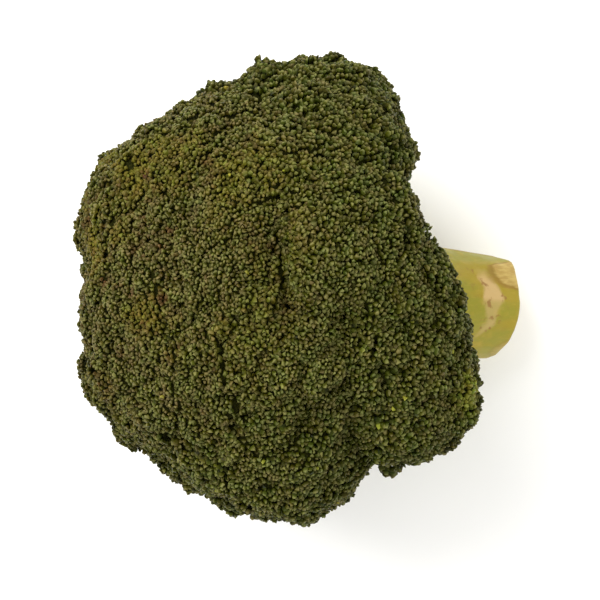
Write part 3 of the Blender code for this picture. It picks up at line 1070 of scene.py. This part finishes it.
def branch_skin(stems):
    """Smooth fibrous skin with a dull wax bloom, blotched pale and deeper towards the florets."""
    material, tree, shader = new_material("branch_skin")
    place = add(tree, "ShaderNodeTexCoord", output=OBJECT)
    rise = add(tree, "ShaderNodeAttribute", {"attribute_name": "rise"}, output=FACTOR)
    # Pale blotches about 9 mm wide, and fibres 1.5 mm apart
    wide = add(tree, "ShaderNodeTexNoise", None, {"Vector": place, "Scale": per(9), "Detail": 3.0})
    fine = add(
        tree, "ShaderNodeTexNoise", None, {"Vector": place, "Scale": per(1.5), "Detail": 3.0}
    )
    share = add(tree, "ShaderNodeMapRange", SOFT, {"Value": wide, **between(0.3, 0.7)})
    skin = add(
        tree, "ShaderNodeMix", COLOURS, {0: share, FROM: stems.skin_colour, TO: stems.pale_colour}, MIXED
    )
    share = add(tree, "ShaderNodeMapRange", SOFT, {"Value": rise, **between(0.5, 1.0, 0.0, 0.35)})
    green = add(
        tree, "ShaderNodeMix", COLOURS, {0: share, FROM: skin, TO: stems.deep_colour}, MIXED
    )
    share = add(tree, "ShaderNodeMapRange", SOFT, {"Value": fine, **between(0.4, 0.75, 0.0, 0.3)})
    fibres = add(
        tree, "ShaderNodeMix", COLOURS, {0: share, FROM: green, TO: stems.pale_colour}, MIXED
    )
    relief = {"Strength": 0.25, "Distance": 0.2 * MM, "Height": fine}
    feed(tree, shader, {
        "Base Color": fibres,
        "Normal": add(tree, "ShaderNodeBump", None, relief),
        "Roughness": 0.48,
        "IOR": SKIN_IOR,
    })
    return material


def leaf_scar(tree, down, side, front, cloud, bands):
    """(scar, edge): a dry scar where leaves were pulled off, bowed like their foot, and its rim."""
    across = add(tree, "ShaderNodeMath", LESS, {0: side, 1: SCAR_SIDE})
    bow = add(tree, "ShaderNodeMath", TIMES, {0: across, 1: across})
    bow = add(tree, "ShaderNodeMath", TIMES, {0: bow, 1: 1 / SCAR_BOW})
    from_scar = add(tree, "ShaderNodeMath", LESS, {0: down, 1: SCAR_DOWN})
    from_scar = add(tree, "ShaderNodeMath", PLUS, {0: from_scar, 1: bow})
    wobble = add(
        tree, "ShaderNodeMapRange", None, {"Value": cloud, **between(0.3, 0.7, -2 * MM, 2 * MM)}
    )
    from_scar = add(tree, "ShaderNodeMath", PLUS, {0: from_scar, 1: wobble})
    thin = add(tree, "ShaderNodeMath", TIMES, {0: from_scar, 1: 1 / SCAR_HALF_WIDTH})
    wide = add(tree, "ShaderNodeMath", TIMES, {0: across, 1: 1 / SCAR_HALF_LENGTH})
    spot = add(tree, "ShaderNodeCombineXYZ", None, {0: thin, 1: wide})
    reach = add(tree, "ShaderNodeVectorMath", LENGTH, {0: spot}, VALUE)
    upper = add(tree, "ShaderNodeMapRange", SOFT, {"Value": front, **between(0.0, 8 * MM)})
    scar = add(tree, "ShaderNodeMapRange", SOFT, {"Value": reach, **between(0.6, 1.15, 0.9, 0.0)})
    streaks = add(
        tree, "ShaderNodeMapRange", SOFT, {"Value": bands, **between(0.35, 0.65, 0.55, 1.0)}
    )
    for share in (upper, streaks):
        scar = add(tree, "ShaderNodeMath", TIMES, {0: scar, 1: share})
    edge = add(tree, "ShaderNodeMapRange", SOFT, {"Value": reach, **between(1.0, 1.7, 1.0, 0.0)})
    return scar, add(tree, "ShaderNodeMath", TIMES, {0: edge, 1: upper})


def with_flats(tree, whole, away, fibres, stalk):
    """Bare flesh with a bruised edge on the knife's flats, told by how near a place is to each."""
    share = add(tree, "ShaderNodeMapRange", SOFT, {"Value": fibres, **between(0.35, 0.7)})
    flesh = add(
        tree, "ShaderNodeMix", COLOURS, {0: share, FROM: stalk.cut_colour, TO: stalk.core_colour}, MIXED
    )
    end = stalk_line(STALK_LENGTH)
    for bearing, slope, out, bareness in KNIFE_FLATS:
        slope = math.radians(slope)
        normal = flat_normal(math.radians(bearing), slope)
        level = float(normal @ (end - CROWN_CENTRE)) + out
        level += STALK_SWELL * math.cos(slope) + STALK_STRETCH * math.sin(slope)
        height = add(tree, "ShaderNodeVectorMath", DOT, {0: away, 1: normal}, VALUE)
        uneven = between(0.3, 0.7, -0.04 * MM, 0.04 * MM)
        uneven = add(tree, "ShaderNodeMapRange", None, {"Value": fibres, **uneven})
        height = add(tree, "ShaderNodeMath", PLUS, {0: height, 1: uneven})
        for low, high, most, colour in (
            (0.75 * MM, 0.45 * MM, 0.6 * bareness, stalk.bruise_colour),
            (0.45 * MM, 0.2 * MM, bareness, flesh),
        ):
            edge = between(level - low, level - high, 0.0, most)
            share = add(tree, "ShaderNodeMapRange", SOFT, {"Value": height, **edge})
            whole = add(tree, "ShaderNodeMix", COLOURS, {0: share, FROM: whole, TO: colour}, MIXED)
    return whole


def with_cut_end(tree, whole, place, cloud, stalk):
    """Pale pith inside a greener ring under the skin, on the cut end."""
    end = stalk_line(STALK_LENGTH)
    turned = unit(np.cross(CUT_NORMAL, HEAD_SIDE))
    other = np.cross(turned, CUT_NORMAL)
    from_end = add(tree, "ShaderNodeVectorMath", LESS, {0: place, 1: end})
    first, second, past = (
        add(tree, "ShaderNodeVectorMath", DOT, {0: from_end, 1: way}, VALUE)
        for way in (turned, other, CUT_NORMAL)
    )
    spot = add(tree, "ShaderNodeCombineXYZ", None, {0: first, 1: second})
    radius = add(tree, "ShaderNodeVectorMath", LENGTH, {0: spot}, VALUE)
    wobble = add(
        tree, "ShaderNodeMapRange", None, {"Value": cloud, **between(0.3, 0.7, -1 * MM, 1 * MM)}
    )
    radius = add(tree, "ShaderNodeMath", PLUS, {0: radius, 1: wobble})
    ring = add(tree, "ShaderNodeMapRange", SOFT, {"Value": radius, **between(11 * MM, 15 * MM)})
    face = add(
        tree, "ShaderNodeMix", COLOURS, {0: ring, FROM: stalk.core_colour, TO: stalk.ring_colour}, MIXED
    )
    edge = between(STALK_STRETCH - 0.5 * MM, STALK_STRETCH - 0.15 * MM)
    cut = add(tree, "ShaderNodeMapRange", SOFT, {"Value": past, **edge})
    return add(tree, "ShaderNodeMix", COLOURS, {0: cut, FROM: whole, TO: face}, MIXED)


def stalk_skin(stalk):
    """Firm skin, peeled in strips: yellow green and waxy, with pale flesh, a scar and bruises."""
    material, tree, shader = new_material("stalk_skin")
    place = add(tree, "ShaderNodeTexCoord", output=OBJECT)
    away = add(tree, "ShaderNodeVectorMath", LESS, {0: place, 1: CROWN_CENTRE})
    down, side, front = (
        add(tree, "ShaderNodeVectorMath", DOT, {0: away, 1: way}, VALUE)
        for way in (-HEAD_UP, HEAD_SIDE, HEAD_FRONT)
    )
    # Spread along the stalk, so that patterns on it run lengthwise
    long = add(tree, "ShaderNodeMath", TIMES, {0: down, 1: 0.3})
    drawn = add(tree, "ShaderNodeCombineXYZ", None, {0: front, 1: side, 2: long})

    # Skin: green and yellow in bands about 9 mm wide, with 1.2 mm fibres and pale 7 mm blotches
    bands = add(tree, "ShaderNodeTexNoise", None, {"Vector": drawn, "Scale": per(9), "Detail": 2.0})
    fibres = add(
        tree, "ShaderNodeTexNoise", None, {"Vector": drawn, "Scale": per(1.2), "Detail": 3.0}
    )
    cloud = add(tree, "ShaderNodeTexNoise", None, {"Vector": place, "Scale": per(7), "Detail": 4.0})
    skin = stalk.green_colour
    for pattern, spread, colour in (
        (bands, between(0.38, 0.62), stalk.skin_colour),
        (fibres, between(0.5, 0.8, 0.0, 0.5), stalk.pale_colour),
        (cloud, between(0.55, 0.75, 0.0, 0.6), stalk.pale_colour),
    ):
        share = add(tree, "ShaderNodeMapRange", SOFT, {"Value": pattern, **spread})
        skin = add(tree, "ShaderNodeMix", COLOURS, {0: share, FROM: skin, TO: colour}, MIXED)

    scar, edge = leaf_scar(tree, down, side, front, cloud, bands)
    whole = add(tree, "ShaderNodeMix", COLOURS, {0: scar, FROM: skin, TO: stalk.scar_colour}, MIXED)
    whole = with_flats(tree, whole, away, fibres, stalk)
    whole = with_cut_end(tree, whole, place, cloud, stalk)

    # Bruises: 3 mm brown spots crowd round the scar and under the crown
    spots = add(tree, "ShaderNodeTexNoise", None, {"Vector": place, "Scale": per(3), "Detail": 3.0})
    under = add(
        tree, "ShaderNodeMapRange", SOFT, {"Value": down, **between(50 * MM, 78 * MM, 0.75, 0.1)}
    )
    likely = add(tree, "ShaderNodeMath", LARGER, {0: edge, 1: under})
    brown = add(
        tree, "ShaderNodeMapRange", SOFT, {"Value": spots, **between(0.56, 0.68, 0.0, 0.75)}
    )
    brown = add(tree, "ShaderNodeMath", TIMES, {0: brown, 1: likely})
    whole = add(
        tree, "ShaderNodeMix", COLOURS, {0: brown, FROM: whole, TO: stalk.bruise_colour}, MIXED
    )

    relief = {"Strength": 0.3, "Distance": 0.3 * MM, "Height": fibres}
    fine = add(tree, "ShaderNodeBump", None, relief)
    relief = {"Strength": 0.35, "Distance": 0.6 * MM, "Height": cloud, "Normal": fine}
    rough = add(tree, "ShaderNodeMapRange", SOFT, {"Value": cloud, **between(0.3, 0.7, 0.36, 0.52)})
    feed(tree, shader, {
        "Base Color": whole,
        "Normal": add(tree, "ShaderNodeBump", None, relief),
        "Roughness": rough,
        "IOR": SKIN_IOR,
        "Specular IOR Level": 0.35,
    })
    return material


# Branches and stalk


def grow_branch(name, seed, material):
    """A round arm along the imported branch, with ribs and a flare at its foot."""
    rng = np.random.default_rng(seed)
    floret = Floret(name)
    along, length = floret.axes[2], floret.arm_length
    t = np.linspace(-BRANCH_ROOT, length + BRANCH_END, BRANCH_STEPS)
    start = floret.neck - along * length
    path = start + along * t[:, None]
    turns, ring = ring_of(*floret.axes[:2], BRANCH_SIDES)
    radii = np.empty(BRANCH_STEPS)
    for k, s in enumerate(t):
        inner = Vector(start + along * np.clip(s, 4 * MM, length - 0.5 * MM))
        hits = [floret.branch_surface.ray_cast(inner, Vector(way))[3] for way in ring]
        hits = [hit for hit in hits if hit]
        radii[k] = np.mean(hits) if hits else radii[k - 1]
    radii = 1.03 * radii + BRANCH_FLARE * np.exp(-np.maximum(t, 0) / FLARE_LENGTH)
    flutes = 1.0
    for ribs, height in BRANCH_RIBS:
        flutes = flutes + height * np.cos(ribs * turns + rng.uniform(0, 6))
    shape = Shape()
    across = np.repeat(floret.axes[:1], BRANCH_STEPS, 0)
    add_tube(shape, path, radii[:, None] * flutes, across, WHOLE_MAP, 0, np.clip(t / length, 0, 1))
    piece = shape.finish(f"{name}_arm", [material])
    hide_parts(f"{name}_branch")
    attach(piece, "root")


def flat_normal(bearing, slope):
    """Outward direction of a knife's flat, from its bearing round the stalk and its slope."""
    level = HEAD_FRONT * math.cos(bearing) + HEAD_SIDE * math.sin(bearing)
    return level * math.cos(slope) - HEAD_UP * math.sin(slope)


def stalk_line(down):
    """Middle of the stalk at a depth under the crown's widest level."""
    lean = STALK_LEAN * np.clip((down - LEAN_START) / (STALK_LENGTH - LEAN_START), 0, 1.2)
    return CROWN_CENTRE - HEAD_UP * down - HEAD_SIDE * lean


def grow_stalk(material):
    """The stalk's skin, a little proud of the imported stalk."""
    surface = surface_of([NODES["stalk"]])
    _, ring = ring_of(HEAD_FRONT, HEAD_SIDE, STALK_SIDES)
    # Rays from its middle find the skin: in a fan over the cut end, closest at its edge, then
    # straight out along its length, and in a fan over the knuckle
    low, high = STALK_LENGTH - 12 * MM, KNUCKLE_DEPTH
    cut_fan = np.r_[np.linspace(-88, -50, 10), np.linspace(-47, -15, 18), np.linspace(-12, -1, 4)]
    stations = [(low, angle) for angle in np.radians(cut_fan)]
    stations += [(down, 0.0) for down in np.linspace(low - 1 * MM, high, 34)]
    stations += [(high, angle) for angle in np.radians(np.linspace(5, 88, 16))]
    rows = []
    for down, angle in stations:
        middle = Vector(stalk_line(down))
        ways = ring * math.cos(angle) + HEAD_UP * math.sin(angle)
        rows.append(np.array([surface.ray_cast(middle, Vector(way))[0] for way in ways]))
    points = np.array(rows)
    down = (CROWN_CENTRE - points) @ HEAD_UP
    # It swells, but not in the middle of its ends, and is stretched towards the cut
    out = points - np.array([stalk_line(d) for d in down.ravel()]).reshape(points.shape)
    radius = np.linalg.norm(out, axis=2, keepdims=True)
    points += unit(out) * STALK_SWELL * np.minimum(radius / (15 * MM), 1)
    points -= HEAD_UP * STALK_STRETCH * smooth_step(60 * MM, 88 * MM, down)[:, :, None]
    shape = Shape()
    shape.add_rings(points, WHOLE_MAP, 0, np.zeros(len(stations)))
    piece = shape.finish("stalk_body", [material])
    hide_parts("stalk")
    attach(piece, "root")


# Operators


class BROCCOLI_OT_grow_florets(bpy.types.Operator):
    """Grow the buds and small stems of every floret"""

    bl_idname = "broccoli.grow_florets"
    bl_label = "Grow florets"

    def execute(self, context):
        scene = context.scene
        materials = [
            waxy_flower_buds(scene.broccoli_buds),
            young_stem_skin(scene.broccoli_stems),
            shaded_stem_tips(scene.broccoli_buds),
        ]
        net = ball_net(BED_POINTS)
        crown = Crown([Floret(name) for name in floret_names()], scene.broccoli_buds)
        stems = scene.broccoli_stems
        counts = [
            grow_floret(crown, k, stems, materials, net) for k in range(len(crown.florets))
        ]
        self.report({"INFO"}, f"{sum(counts)} buds")
        return {"FINISHED"}


class BROCCOLI_OT_grow_branches(bpy.types.Operator):
    """Grow the branches that carry the florets"""

    bl_idname = "broccoli.grow_branches"
    bl_label = "Grow branches"

    def execute(self, context):
        material = branch_skin(context.scene.broccoli_stems)
        first_seed = context.scene.broccoli_buds.seed * 2000
        for number, name in enumerate(floret_names()):
            grow_branch(name, first_seed + number, material)
        return {"FINISHED"}


class BROCCOLI_OT_grow_stalk(bpy.types.Operator):
    """Grow the stalk with its knife cuts and scars"""

    bl_idname = "broccoli.grow_stalk"
    bl_label = "Grow stalk"

    def execute(self, context):
        grow_stalk(stalk_skin(context.scene.broccoli_stalk))
        return {"FINISHED"}


class BROCCOLI_OT_set_stage(bpy.types.Operator):
    """Set up the floor, the lights and the camera"""

    bl_idname = "broccoli.set_stage"
    bl_label = "Set stage"

    def execute(self, context):
        scene, stage = context.scene, context.scene.broccoli_stage
        low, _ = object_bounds()
        half = FLOOR_WIDTH / 2
        mesh = bpy.data.meshes.new("floor")
        across = ((-half, -half), (half, -half), (half, half), (-half, half))
        corners = [(x, y, low.z) for x, y in across]
        mesh.from_pydata(corners, [], [(0, 1, 2, 3)])
        floor = bpy.data.objects.new("floor", mesh)
        scene.collection.objects.link(floor)
        material, tree, shader = new_material("matt_white_table")
        # Its surface is faintly uneven, in clouds about 36 mm wide, counted across the whole floor
        clouds = {"Scale": per(36) * FLOOR_WIDTH, "Detail": 3.0}
        grain = add(tree, "ShaderNodeTexNoise", None, clouds)
        share = add(
            tree, "ShaderNodeMapRange", SOFT, {"Value": grain, **between(0.3, 0.7, 0.0, 0.03)}
        )
        paint = {0: share, FROM: stage.floor_colour, TO: (0.8, 0.8, 0.78)}
        paint = add(tree, "ShaderNodeMix", COLOURS, paint, MIXED)
        feed(tree, shader, {"Base Color": paint, "Roughness": 0.8})
        mesh.materials.append(material)
        floor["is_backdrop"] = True

        world = bpy.data.worlds.new("studio")
        scene.world = world
        world.use_nodes = True
        background = world.node_tree.nodes["Background"]
        background.inputs["Color"].default_value = (1, 1, 1, 1)
        background.inputs["Strength"].default_value = stage.fill

        lamp = bpy.data.lights.new("key", "AREA")
        lamp.shape = "SQUARE"
        lamp.size = 1.0
        lamp.energy = stage.key_power
        key = bpy.data.objects.new("key", lamp)
        key.location = LAMP_PLACE
        aim = LAMP_TARGET - key.location
        key.rotation_euler = aim.to_track_quat("-Z", "Y").to_euler()
        scene.collection.objects.link(key)

        camera = bpy.data.cameras.new("camera")
        camera.sensor_width = 36
        camera.lens = stage.focal_length
        holder = bpy.data.objects.new("camera", camera)
        holder.location = (*CAMERA_OVER, stage.camera_height)
        scene.collection.objects.link(holder)
        scene.camera = holder
        scene.view_settings.view_transform = "Standard"
        scene.view_settings.look = "None"
        return {"FINISHED"}


class BROCCOLI_PT_panel(bpy.types.Panel):
    """Everything the head is made with"""

    bl_label = "Broccoli head"
    bl_idname = "BROCCOLI_PT_panel"
    bl_space_type = "VIEW_3D"
    bl_region_type = "UI"
    bl_category = "Broccoli"

    def draw(self, context):
        layout = self.layout
        for operator, group in STEPS:
            box = layout.box()
            settings = getattr(context.scene, group)
            for name in settings.bl_rna.properties.keys():
                if name not in ("rna_type", "name"):
                    box.prop(settings, name)
            box.operator(operator)


STEPS = (
    ("broccoli.grow_florets", "broccoli_buds"),
    ("broccoli.grow_branches", "broccoli_stems"),
    ("broccoli.grow_stalk", "broccoli_stalk"),
    ("broccoli.set_stage", "broccoli_stage"),
)
GROUPS = {
    "broccoli_buds": BudSettings,
    "broccoli_stems": StemSettings,
    "broccoli_stalk": StalkSettings,
    "broccoli_stage": StageSettings,
}
CLASSES = (
    *GROUPS.values(),
    BROCCOLI_OT_grow_florets,
    BROCCOLI_OT_grow_branches,
    BROCCOLI_OT_grow_stalk,
    BROCCOLI_OT_set_stage,
    BROCCOLI_PT_panel,
)


def register():
    for cls in CLASSES:
        bpy.utils.register_class(cls)
    for name, group in GROUPS.items():
        setattr(bpy.types.Scene, name, PointerProperty(type=group))


def unregister():
    for name in GROUPS:
        delattr(bpy.types.Scene, name)
    for cls in reversed(CLASSES):
        bpy.utils.unregister_class(cls)


def main():
    register()
    bpy.ops.broccoli.grow_florets()
    bpy.ops.broccoli.grow_branches()
    bpy.ops.broccoli.grow_stalk()
    bpy.ops.broccoli.set_stage()


if __name__ == "__main__":
    main()
